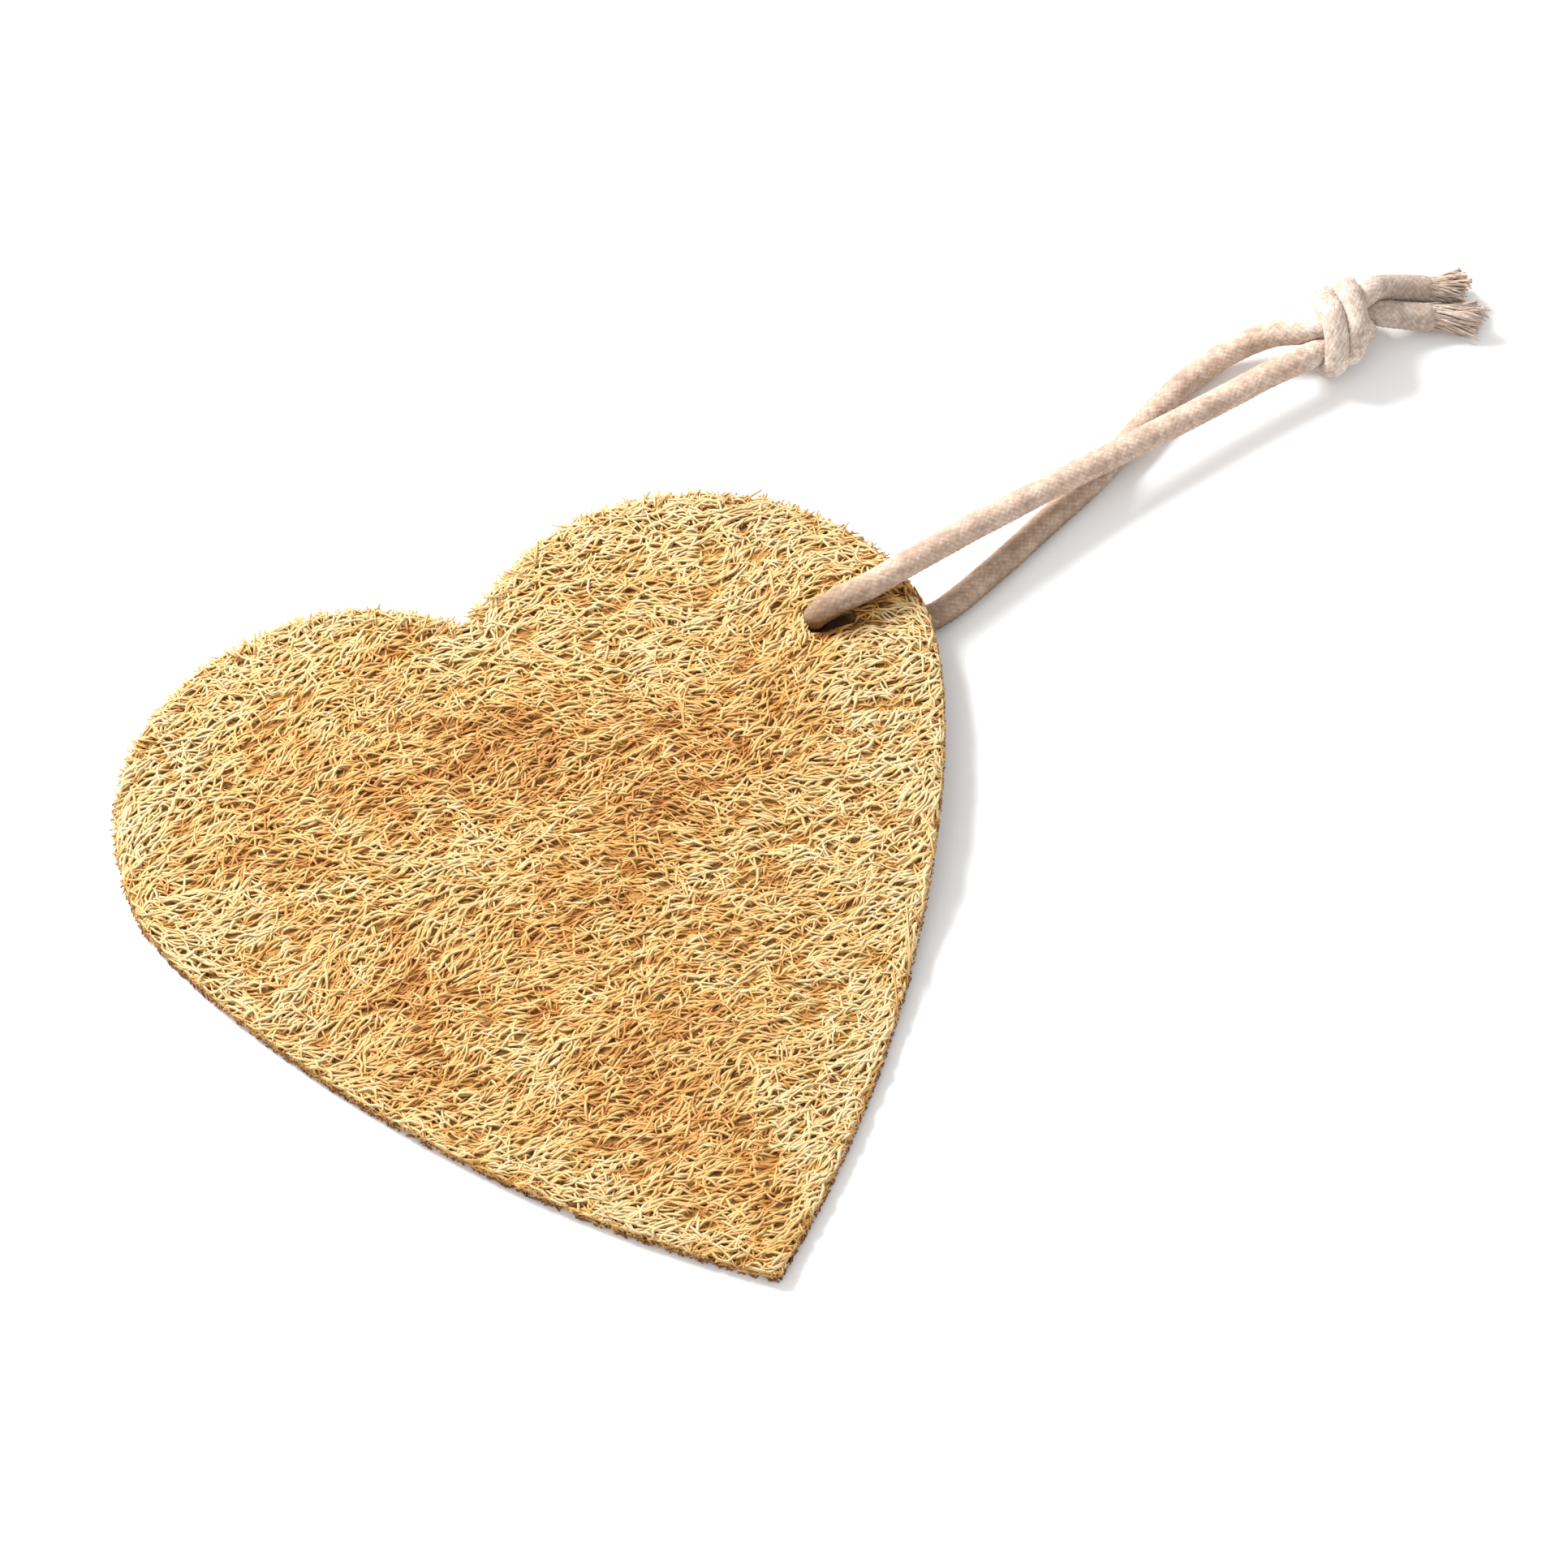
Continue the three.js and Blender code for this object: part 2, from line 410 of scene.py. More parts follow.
# Hanging cord: one length in two halves, which meet in the hole and go through one knot
cordSet = {
    "diameter": 3.5,
    "sides": 56,
    "step": 0.24,
    "frontExit": (40.4, 26.9, 7.0),  # where each half leaves the hole
    "backExit": (40.5, 27.1, 4.0),
    "braidStrands": 14,  # around the cord, each way
    "braidPitch": 0.85,  # along the cord, for one crossing
    "braidHeight": 0.15,
    "braidMiddle": 0.72,  # the height that lies at the cord's radius
    "yarnSquare": 0.45,  # how square and how full each yarn's back is
    "yarnFull": 0.7,
    "fleckRows": 331,
    "uneven": 0.018,
    "capReach": 0.4,
    "holePinch": 0.2,  # how much the cord is squeezed where it turns in the hole
    "pinchReach": 5.0,
    "tailFlare": 0.12,
    "flareReach": 8.0,
    "endTaper": 0.4,
    "taperReach": 1.6,
    "knotCentre": (122.3, 42.0, 5.8),
    "knotTurn": 4.0,  # degrees
    "knotReach": 12.5,
    "knotPress": 0.13,  # how much the strands flatten against each other
    "pressReach": 9.5,
    "pressFade": 4.0,
    "pressBulge": 0.55,
    "pressFlat": 1.3,
    "settleStep": 0.7,
    "settleRounds": 60,
    "settlePull": 0.16,
    "contactRounds": 4,
    "contactPush": 1.2,
    "sameStrand": 2.0,  # contact with itself starts at this many gaps along a strand
    "knotStart": 113.0,  # along +X, where the cotton's stages change
    "knotFade": 5.0,
    "tailStart": 126.0,
    "tailFade": 4.0,
    "frontRubAndShade": {"amount": 0.9, "until": 51.0, "fade": 10.5},  # browned near the hole, partly rubbed stain and partly painted shade
    "backPaintedShade": {"amount": 0.45, "until": 104.0, "fade": 30.0},  # painted shade along the lower leg
    "rubAndShadeTop": 0.72,
    "paintedShadeUnder": 1.3,  # painted shade: the lower side, away from the light, is darker
    "shadeUnderFrom": 0.45,
    "shadeUnderFade": 0.9,
}

frontLeg = [
    (40.3, 27.3, 5.0), (40.3, 27.05, 6.5), (40.8, 26.75, 8.0), (42.4, 26.85, 8.8), (44.6, 27.05, 9.0),
    (48.0, 27.45, 9.0), (50.5, 27.95, 8.95), (54.3, 28.8, 8.75), (59.4, 29.9, 8.35), (64.5, 31.1, 7.8),
    (69.6, 32.1, 7.3), (74.7, 33.2, 6.8), (82.3, 34.6, 6.1), (88.0, 35.5, 5.7), (94.9, 36.6, 5.4),
    (99.9, 37.4, 5.2), (105.0, 38.2, 5.1), (110.0, 39.0, 5.1), (113.2, 39.4, 5.15),
]

backLeg = [
    (40.3, 27.3, 5.0), (41.25, 26.5, 2.85), (43.7, 25.4, 1.8), (47.0, 24.6, 1.8), (51.5, 23.9, 1.8),
    (55.3, 23.9, 1.8), (58.5, 24.6, 1.8), (62.4, 26.0, 1.8), (68.1, 28.3, 1.8), (73.8, 30.8, 1.8),
    (82.4, 34.5, 1.8), (89.2, 38.0, 1.8), (97.9, 42.8, 1.8), (103.4, 44.8, 2.1), (108.6, 45.7, 2.9),
    (116.4, 44.5, 5.0),
]

upperTail = [(130.5, 45.35, 5.2), (133.5, 45.05, 3.75), (137.6, 44.15, 2.25)]
lowerTail = [(128.9, 42.4, 4.1), (132.5, 41.45, 2.75), (136.3, 39.9, 1.95)]

# Overhand knot: the pair's middle along, across and above the knot, the way to the back strand,
# and the strands' radius, which is less where they are pressed inside it
knotRoute = [
    ((-5.6, -0.3, -0.8), (0.0, 1.0, 0.1), 1.65),
    ((-3.0, -0.9, -0.4), (0.0, 0.8, 0.6), 1.35),
    ((0.0, -1.3, 0.0), (0.0, 0.2, 1.0), 1.15),
    ((2.4, -1.3, -0.2), (0.1, 0.0, 1.0), 1.2),
    ((2.6, -1.1, -2.0), (0.8, -0.2, 0.5), 1.15),
    ((2.6, 0.6, -3.6), (1.0, -0.2, 0.0), 1.2),
    ((2.8, 2.8, -3.1), (1.0, 0.0, -0.15), 1.35),
    ((2.6, 4.0, -1.0), (1.0, 0.0, -0.2), 1.5),
    ((1.3, 3.7, 1.7), (1.0, 0.0, -0.25), 1.58),
    ((0.2, 1.7, 3.7), (1.0, 0.0, -0.1), 1.62),
    ((-0.3, -1.2, 4.0), (1.0, 0.0, 0.0), 1.55),
    ((-0.9, -3.4, 2.4), (1.0, 0.0, 0.0), 1.5),
    ((-1.7, -4.0, -0.4), (1.0, 0.0, 0.0), 1.5),
    ((-2.2, -2.9, -2.9), (0.9, 0.3, 0.3), 1.4),
    ((-2.4, -0.4, -4.0), (0.75, 0.0, 0.6), 1.35),
    ((-2.2, 1.9, -3.1), (0.6, -0.7, 0.3), 1.25),
    ((-1.2, 1.8, -1.2), (0.5, -0.5, -0.6), 1.15),
    ((0.8, 1.3, 0.2), (0.0, -0.2, -1.0), 1.15),
    ((3.0, 1.4, 0.6), (0.0, -0.5, -0.9), 1.3),
    ((5.4, 1.4, 0.4), (0.0, -0.85, -0.6), 1.6),
]


def withRadius(points):
    return [(*point, cordSet["diameter"] / 2) for point in points]


def knotStrand(cord, hand):
    # hand is -1 for the front strand of the pair and 1 for the back one
    turn = math.radians(cord["knotTurn"])
    along = np.array((math.cos(turn), math.sin(turn), 0.0))
    across = np.array((-math.sin(turn), math.cos(turn), 0.0))
    points = []
    for middle, toBack, radius in knotRoute:
        place = np.array(middle) + unit(np.array(toBack)) * hand * radius
        spot = np.array(cord["knotCentre"]) + along * place[0] + across * place[1]
        points.append((spot[0], spot[1], spot[2] + place[2], radius))
    return points


def settleKnot(strands, cord):
    # tension pulls the strands tight, and contact keeps them apart
    points = np.vstack([strand[:, :3] for strand in strands])
    radius = np.concatenate([strand[:, 3] for strand in strands])
    owner = np.concatenate([np.full(len(strand), k) for k, strand in enumerate(strands)])
    free = np.linalg.norm(points - np.array(cord["knotCentre"]), axis=1) < cord["knotReach"]
    free[0] = False
    free[-1] = False
    moving = np.flatnonzero(free)
    gap = radius[moving][:, None] + radius[moving][None]
    along = np.abs(moving[:, None] - moving[None]) * cord["settleStep"]
    apart = (owner[moving][:, None] != owner[moving][None]) | (along > cord["sameStrand"] * gap)
    for _ in range(cord["settleRounds"]):
        pull = (points[moving - 1] + points[moving + 1]) / 2 - points[moving]
        points[moving] += cord["settlePull"] * pull
        for _ in range(cord["contactRounds"]):
            here = points[moving]
            between = here[:, None] - here[None]
            distance = np.linalg.norm(between, axis=-1) + 1e-9
            push = np.where(apart & (distance < gap), (gap - distance) / 2, 0.0)
            touching = np.maximum((push > 0).sum(1), 1)
            shift = (between * (push / distance)[..., None]).sum(1) / touching[:, None]
            points[moving] += cord["contactPush"] * shift
            points[moving, 2] = np.maximum(points[moving, 2], radius[moving])
    settled = np.concatenate([points, radius[:, None]], -1)
    return [settled[owner == k] for k in range(len(strands))]


def braidYarns(turns, travel, cord, flecks):
    # two sets of yarns that cross over and under each other: their height, and each crossing's shade
    first = turns * cord["braidStrands"] + travel / cord["braidPitch"]
    second = turns * cord["braidStrands"] - travel / cord["braidPitch"]
    over = np.mod(np.floor(first) + np.floor(second), 2.0) < 1.0
    acrossFirst = np.abs(np.sin(np.pi * np.mod(first, 1.0)))
    acrossSecond = np.abs(np.sin(np.pi * np.mod(second, 1.0)))
    square = cord["yarnSquare"]
    yarn = np.where(over, acrossFirst * acrossSecond ** square, acrossSecond * acrossFirst ** square)
    around = np.mod(np.floor(first), cord["braidStrands"]).astype(int)
    ahead = np.mod(np.floor(first) - np.floor(second), flecks.shape[1]).astype(int)
    return yarn ** cord["yarnFull"], flecks[around, ahead]


def cordPiece(name, route, cord, nodes, seed, rubAndShade):
    rng = np.random.default_rng(seed)
    path = route[:, :3]
    ahead, side, up = carryFrames(path)
    travel = travelled(path)
    toEnd = travel[-1] - travel
    radius = route[:, 3] * (1.0 - cord["holePinch"] * clamp(1.0 - travel / cord["pinchReach"]))
    radius *= 1.0 + cord["tailFlare"] * clamp(1.0 - toEnd / cord["flareReach"])
    radius *= 1.0 - cord["endTaper"] * clamp(1.0 - toEnd / cord["taperReach"]) ** 2
    sides = cord["sides"]
    turns = np.arange(sides) / sides
    flecks = rng.uniform(0.0, 1.0, (cord["braidStrands"], cord["fleckRows"]))
    yarn, fleck = braidYarns(turns[None, :], travel[:, None], cord, flecks)
    angle = 2 * np.pi * turns
    ring = side[:, None] * np.cos(angle)[None, :, None] + up[:, None] * np.sin(angle)[None, :, None]
    fromKnot = path - np.array(cord["knotCentre"])
    inKnot = clamp((cord["pressReach"] - np.linalg.norm(fromKnot, axis=1)) / cord["pressFade"])
    facing = (ring * unit(fromKnot)[:, None]).sum(-1) ** 2
    press = 1.0 + cord["knotPress"] * inKnot[:, None] * (cord["pressBulge"] - facing * cord["pressFlat"])
    uneven = rng.normal(0.0, cord["uneven"], yarn.shape)
    reach = radius[:, None] * press + cord["braidHeight"] * (yarn - cord["braidMiddle"]) + uneven
    points = path[:, None] + ring * reach[..., None]
    points[..., 2] = np.maximum(points[..., 2], 0.0)
    ends = np.array([path[0] - ahead[0] * cord["capReach"], path[-1] + ahead[-1] * cord["capReach"]])
    count = len(path)
    lastRow = (count - 1) * sides
    column = np.arange(sides)
    following = (column + 1) % sides
    first = np.stack([np.full(sides, count * sides), following, column], -1)
    last = np.stack([np.full(sides, count * sides + 1), lastRow + column, lastRow + following], -1)
    x = path[:, 0]
    toKnot = clamp((x - cord["knotStart"]) / cord["knotFade"])
    toTail = clamp((x - cord["tailStart"]) / cord["tailFade"])
    # painted shade and rubbed stain: browned near the hole, and shaded along the lower leg and on the lower
    # side
    rubbedAndShaded = rubAndShade["amount"] * clamp((rubAndShade["until"] - x) / rubAndShade["fade"])
    under = clamp((cord["shadeUnderFrom"] - ring[..., 2]) / cord["shadeUnderFade"])
    marks = {
        "wear": np.append(np.repeat((toKnot + toTail) / 2, sides), [0.0, 1.0]),
        # painted shade where the braid lies low between yarns
        "grooveShadeAndTone": np.append(1.0 - yarn, [0.5, 0.5]),
        "fleck": np.append(fleck, [0.5, 0.5]),
        "rubAndShade": np.append(clamp(rubbedAndShaded[:, None] * (cord["rubAndShadeTop"] + cord["paintedShadeUnder"] * under)),
                         [rubbedAndShaded[0], rubbedAndShaded[-1]]),
    }
    faces = [ringQuads(np.arange(count - 1) * sides, sides), first, last]
    piece = makePiece(name, np.vstack([points.reshape(-1, 3), ends]), faces, braidCotton,
                      nodes, marks, cordStrips(count - 1, sides))
    return piece, travel[-1]


def cordStrips(segments, sides):
    # texture places: the cord's length is cut into rows, one above another, with its caps beside them
    rows = 14
    wide = 0.96
    tall = 0.94
    margin = (0.01, 0.03)
    capStarts = (0.975, 0.985)
    capCorner = np.array([[0.0, 0.01], [0.008, 0.01], [0.004, 0.02]])
    perRow = math.ceil(segments / rows)
    segment = np.arange(segments)
    left = (segment % perRow) / perRow
    column = np.arange(sides) / sides
    low = ((segment // perRow)[:, None] + margin[1] + tall * column[None, :]) / rows
    u0 = margin[0] + wide * np.broadcast_to(left[:, None], low.shape)
    quads = quadCorners(u0, low, u0 + wide / perRow, low + tall / sides / rows)
    caps = [np.tile(capCorner + np.array((start, 0.0)), (sides, 1)) for start in capStarts]
    return np.vstack([quads, *caps])


frontRoute = withRadius(frontLeg) + knotStrand(cordSet, -1.0) + withRadius(upperTail)
backRoute = withRadius(backLeg) + knotStrand(cordSet, 1.0) + withRadius(lowerTail)
coarse = [smoothRoute(route, cordSet["settleStep"]) for route in (frontRoute, backRoute)]
frontPath, backPath = [smoothRoute(s[::2], cordSet["step"]) for s in settleKnot(coarse, cordSet)]
frontNodes = ["hanging_cord", "cord_knot", "cord_tail_upper"]
backNodes = ["hanging_cord", "cord_knot", "cord_tail_lower"]
cordFront, frontLength = cordPiece("cordFront", frontPath, cordSet, frontNodes, 1, cordSet["frontRubAndShade"])
cordBack, backLength = cordPiece("cordBack", backPath, cordSet, backNodes, 2, cordSet["backPaintedShade"])
print("cord halves:", round(frontLength, 1), "and", round(backLength, 1), "mm")

# Frayed ends: the plies of each tail come apart, and each is a twist of yarns
fraySet = {
    "upper": {"aim": (143.0, 42.4, 2.4), "length": 4.7, "splay": 0.36, "seed": 11},
    "lower": {"aim": (144.0, 37.0, 1.6), "length": 6.2, "splay": 0.55, "seed": 12},
    "plies": 10,  # one in the middle, and the rest round it
    "yarnsPerPly": 13,
    "sides": 4,
    "points": 12,
    "inside": 3.2,
    "firstPly": 0.5,  # radians
    "plyOut": 1.22,
    "plySpread": 0.9,
    "plyRadius": 0.56,
    "plyFill": (0.1, 1.0),  # share of a ply's section that its yarns fill
    "plyLoose": 0.5,
    "plyTwist": 5.5,  # radians over the length of a ply
    "plyReach": (0.8, 1.06),
    "plySway": 0.22,
    "swayReach": 2.4,
    "swayPower": 1.5,
    "yarnReach": (0.93, 1.02),
    "yarnSway": 0.03,
    "yarnRadius": (0.15, 0.22),
    "yarnTaper": 0.25,
    "taperPower": 6,
    "yarnWear": 0.12,
    "yarnGroove": (0.0, 0.8),
    "yarnFleck": (0.15, 1.0),
    "hairs": 70,  # single cotton hairs among the plies
    "hairRadius": (0.03, 0.05),
    "hairSway": 0.4,
    "floorGap": 0.02,
}


def brushPiece(name, path, brush, fray, nodes):
    rng = np.random.default_rng(brush["seed"])
    end = path[-1, :3]
    forward = unit(path[-1, :3] - path[-2, :3])
    across = unit(np.cross((0.0, 0.0, 1.0), forward))
    above = np.cross(forward, across)
    aim = unit(np.array(brush["aim"], float) - end)
    share = np.linspace(0.0, 1.0, fray["points"])
    way = forward[None] * (1 - share[:, None]) + aim[None] * share[:, None]
    way = np.cumsum(way, axis=0) - way[0]
    plies = fray["plies"]
    yarns = plies * fray["yarnsPerPly"]
    plyReach = rng.uniform(*fray["plyReach"], plies)
    plySway = rng.normal(0.0, fray["plySway"], (plies, 2))
    plyWear = rng.uniform(0.0, 1.0, plies)
    lines, radii, wear = [], [], []
    for k in range(yarns + fray["hairs"]):
        kind = "yarn" if k < yarns else "hair"
        ply = k % plies
        turn = ply * 2 * math.pi / (plies - 1) + fray["firstPly"]
        out = 0.0 if ply == plies - 1 else fray["plyOut"]
        centre = across * math.cos(turn) + above * math.sin(turn)
        reach = brush["length"] * plyReach[ply] * rng.uniform(*fray["yarnReach"])
        whole = reach + fray["inside"]
        opened = np.clip(share * whole - fray["inside"], 0.0, None) / brush["length"]
        line = end - forward * fray["inside"] + way * (whole / (fray["points"] - 1))
        line = line + centre * (out * (fray["plySpread"] + brush["splay"] * opened))[:, None]
        sway = plySway[ply] + rng.normal(0.0, fray[kind + "Sway"], 2)
        swayed = opened ** fray["swayPower"] * fray["swayReach"]
        line = line + (across * sway[0] + above * sway[1]) * swayed[:, None]
        twist = (rng.uniform(0.0, 2 * math.pi) + share * fray["plyTwist"])[:, None]
        fromMiddle = fray["plyRadius"] * math.sqrt(rng.uniform(*fray["plyFill"]))
        loose = fromMiddle * (1.0 + fray["plyLoose"] * opened ** 2)
        line = line + (across * np.cos(twist) + above * np.sin(twist)) * loose[:, None]
        thick = rng.uniform(*fray[kind + "Radius"])
        line[:, 2] = np.maximum(line[:, 2], thick + fray["floorGap"])
        lines.append(line)
        radii.append(thick * (1.0 - fray["yarnTaper"] * share ** fray["taperPower"]))
        wear.append(clamp(plyWear[ply] + rng.normal(0.0, fray["yarnWear"])))
    each = fray["points"] * fray["sides"]
    marks = {
        "wear": np.repeat(np.array(wear), each),
        "grooveShadeAndTone": np.repeat(rng.uniform(*fray["yarnGroove"], len(lines)), each),
        "fleck": np.repeat(rng.uniform(*fray["yarnFleck"], len(lines)), each),
    }
    points, faces, strips = fibreTubes(np.array(lines), np.array(radii), np.array(radii), fray["sides"])
    return makePiece(name, points, faces, frayCotton, nodes, marks, strips)


brushUpper = brushPiece("frayUpper", frontPath, fraySet["upper"], fraySet, ["cord_tail_upper"])
brushLower = brushPiece("frayLower", backPath, fraySet["lower"], fraySet, ["cord_tail_lower"])

# Loofah pad: a heart of pressed fibre, with a raised right lobe
padSet = {
    "tip": (0.5, -55.5),
    "curves": [  # each has two control points and an end
        ((36.5, -27.0), (54.5, 10.5), (54.5, 23.5)),
        ((54.5, 40.5), (37.5, 53.5), (22.0, 53.5)),
        ((13.5, 53.5), (5.0, 49.5), (-0.5, 45.5)),
        ((-4.0, 47.5), (-11.0, 55.5), (-21.0, 55.5)),
        ((-38.5, 55.5), (-54.5, 45.5), (-54.5, 23.5)),
        ((-54.5, 12.5), (-33.5, -29.5), (0.5, -55.5)),
    ],
    "outlineSteps": 60,  # for each curve
    "middleThickness": 3.6,
    "edgeThickness": 2.6,
    "crownReach": 45.0,
    "edgeRounding": 1.1,
    "edgeFullness": 0.2,
    "hole": (40.3, 26.2),
    "slitEnd": (44.2, 25.9),  # fibres part a little along the cord
    "holeClear": 1.55,
    "liftHeight": 4.0,
    "liftHeading": (0.85, 0.53),
    "liftStart": 6.0,
    "liftEnd": 40.0,
    "swell": [(0.16, 9.0, 21), (0.10, 3.6, 22)],  # layers of noise: amount, scale and seed
    "grainStretch": 0.55,
    "grainScale": 0.85,
    "grainSeed": 23,
    "pitFrom": 0.3,
    "pitFade": 0.3,
    "lieAngle": -3.0,  # degrees, main lie of the fibres
    "swirls": [(0.3, 17.0, 31), (0.42, 6.0, 32)],
    "spotReach": 60.0,  # spots are laid out this far from the middle
    "edgeTurn": 0.55,
    "edgeReach": 3.5,
}


def heartOutline(stepsPerCurve):
    start = np.array(padSet["tip"])
    share = np.linspace(0.0, 1.0, stepsPerCurve, endpoint=False)[:, None]
    points = []
    for curve in padSet["curves"]:
        first, second, end = (np.array(point) for point in curve)
        points.append((1 - share) ** 3 * start + 3 * (1 - share) ** 2 * share * first
                      + 3 * (1 - share) * share ** 2 * second + share ** 3 * end)
        start = end
    return np.vstack(points)


# Square grid over the pad
gridLow = -62.0
gridStep = 0.5
gridCount = 249


def edgeGrid(outline):
    # distance to the outline, positive inside, on a square grid
    axis = gridLow + gridStep * np.arange(gridCount)
    following = np.roll(outline, -1, axis=0)
    along = following - outline
    square = (along ** 2).sum(1)
    rise = np.where(along[:, 1] == 0, 1e-9, along[:, 1])
    table = np.zeros((gridCount, gridCount))
    for i, y in enumerate(axis):
        here = np.stack([axis, np.full(gridCount, y)], -1)
        rel = here[:, None] - outline[None]
        share = clamp((rel * along[None]).sum(-1) / square[None])
        away = np.linalg.norm(rel - share[..., None] * along[None], axis=-1).min(1)
        meets = along[:, 0] * (y - outline[:, 1]) / rise + outline[:, 0]
        crosses = ((outline[:, 1] > y) != (following[:, 1] > y))[None] & (axis[:, None] < meets[None])
        table[i] = np.where(crosses.sum(1) % 2 == 1, away, -away)
    return table


def fromCells(table, i, j, across, up):
    # a value between four neighbours of a table
    return ((table[j, i] * (1 - across) + table[j, i + 1] * across) * (1 - up)
            + (table[j + 1, i] * (1 - across) + table[j + 1, i + 1] * across) * up)


def sampleGrid(table, x, y):
    u = np.clip((x - gridLow) / gridStep, 0.0, gridCount - 1.001)
    v = np.clip((y - gridLow) / gridStep, 0.0, gridCount - 1.001)
    i, j = u.astype(int), v.astype(int)
    return fromCells(table, i, j, u - i, v - j)


outlinePoints = heartOutline(padSet["outlineSteps"])
edgeTable = edgeGrid(outlinePoints)
edgeSlopeY, edgeSlopeX = np.gradient(edgeTable, gridStep)
print("heart outline measured")


def inwardWay(spots):
    x, y = spots[..., 0], spots[..., 1]
    return unit(np.stack([sampleGrid(edgeSlopeX, x, y), sampleGrid(edgeSlopeY, x, y)], -1))


def smooth(share):
    return share * share * (3 - 2 * share)


noiseCells = 96
noiseMiddle = 40.0


def softNoise(x, y, scale, seed):
    grid = np.random.default_rng(seed).uniform(-1.0, 1.0, (noiseCells, noiseCells))
    u = x / scale + noiseMiddle
    v = y / scale + noiseMiddle
    i, j = np.floor(u).astype(int), np.floor(v).astype(int)
    return fromCells(grid, i % (noiseCells - 1), j % (noiseCells - 1), smooth(u - i), smooth(v - j))


def noiseLayers(x, y, layers):
    return sum(amount * softNoise(x, y, scale, seed) for amount, scale, seed in layers)


def padLift(x, y):
    along = x * padSet["liftHeading"][0] + y * padSet["liftHeading"][1]
    share = clamp((along - padSet["liftStart"]) / (padSet["liftEnd"] - padSet["liftStart"]))
    return padSet["liftHeight"] * smooth(share)


def padFaces(x, y):
    # heights of the underside and of the top, both rounded over at the edge
    inside = np.maximum(sampleGrid(edgeTable, x, y), 0.0)
    crown = 1.0 - (1.0 - clamp(inside / padSet["crownReach"])) ** 2
    thick = padSet["edgeThickness"] + (padSet["middleThickness"] - padSet["edgeThickness"]) * crown
    near = 1.0 - clamp(inside / padSet["edgeRounding"])
    least = padSet["edgeFullness"]
    fullness = np.sqrt(np.maximum(1.0 - near * near, 0.0)) * (1.0 - least) + least
    middle = padLift(x, y) + thick / 2
    return middle - thick / 2 * fullness, middle + thick / 2 * fullness


def padSwell(x, y):
    return noiseLayers(x, y, padSet["swell"])


def padGrain(x, y):
    # long ridges where fibres bunch together, and pits between them
    return softNoise(x * padSet["grainStretch"], y, padSet["grainScale"], padSet["grainSeed"])


def padPits(x, y):
    return clamp((-padGrain(x, y) - padSet["pitFrom"]) / padSet["pitFade"])


def fibreLie(spots):
    # main lie of the fibres, with swirls, turning along the outline near the edge
    x, y = spots[..., 0], spots[..., 1]
    lie = math.radians(padSet["lieAngle"]) + noiseLayers(x, y, padSet["swirls"])
    inward = inwardWay(spots)
    toEdge = np.mod(np.arctan2(inward[..., 0], -inward[..., 1]) - lie + np.pi / 2, np.pi) - np.pi / 2
    nearEdge = np.exp(-(sampleGrid(edgeTable, x, y) / padSet["edgeReach"]) ** 2)
    return lie + padSet["edgeTurn"] * nearEdge * toEdge


def keepInPad(spots, margin):
    # spots move inside the outline, and out of the hole and the slit beside it
    inside = sampleGrid(edgeTable, spots[..., 0], spots[..., 1])
    spots = spots + inwardWay(spots) * np.clip(margin - inside, 0.0, None)[..., None]
    hole = np.array(padSet["hole"])
    slit = np.array(padSet["slitEnd"]) - hole
    share = clamp(((spots - hole) * slit).sum(-1) / (slit @ slit))
    nearest = hole + share[..., None] * slit
    fromHole = spots - nearest
    away = np.linalg.norm(fromHole, axis=-1, keepdims=True)
    parted = nearest + fromHole / np.maximum(away, 1e-6) * padSet["holeClear"]
    return np.where(away < padSet["holeClear"], parted, spots)


def scatterSpots(rng, count, margin):
    # jittered rows of spots over the heart
    area = (edgeTable > margin).sum() * gridStep ** 2
    gap = math.sqrt(area / count)
    axis = np.arange(-padSet["spotReach"], padSet["spotReach"], gap)
    x, y = np.meshgrid(axis, axis)
    spots = np.stack([x.ravel(), y.ravel()], -1) + rng.uniform(-0.5, 0.5, (x.size, 2)) * gap
    spots = spots[sampleGrid(edgeTable, spots[:, 0], spots[:, 1]) > margin]
    rng.shuffle(spots)
    return spots


# Dry loofah fibre: straw gold, cream on the upper fibres, and painted shade that browns them the deeper they
# lie in the gaps
fibreLook = {
    "tints": [
        (0.0, (0.38, 0.155, 0.032, 1)),
        (0.25, (0.54, 0.285, 0.085, 1)),
        (0.5, (0.645, 0.41, 0.158, 1)),
        (0.75, (0.695, 0.495, 0.228, 1)),
        (1.0, (0.725, 0.575, 0.34, 1)),
    ],
    "depthShades": [
        (0.0, (1.0, 1.0, 1.0, 1)),
        (0.45, (0.93, 0.84, 0.66, 1)),
        (0.7, (0.74, 0.54, 0.28, 1)),
        (1.0, (0.29, 0.15, 0.047, 1)),
    ],
    "shade": (0.48, 0.235, 0.06, 1),
    "grainScale": 1300.0,
    "grainAmount": 0.32,
    "rough": 0.5,
    "bump": 0.35,
    "bumpHeight": 0.1,
    "specular": 0.35,
}


def fibreMaterial(look):
    material, tree, shader = newMaterial("loofahFibre")
    tint = colourRamp(tree, pieceMark(tree, "tint"), look["tints"])
    sunkShade = colourRamp(tree, pieceMark(tree, "depth"), look["depthShades"])
    grain = placeGrain(tree, mixColour(tree, "MULTIPLY", 1.0, tint, sunkShade), look)
    finishMaterial(tree, shader, grain, grain.outputs["Color"], look)
    return material


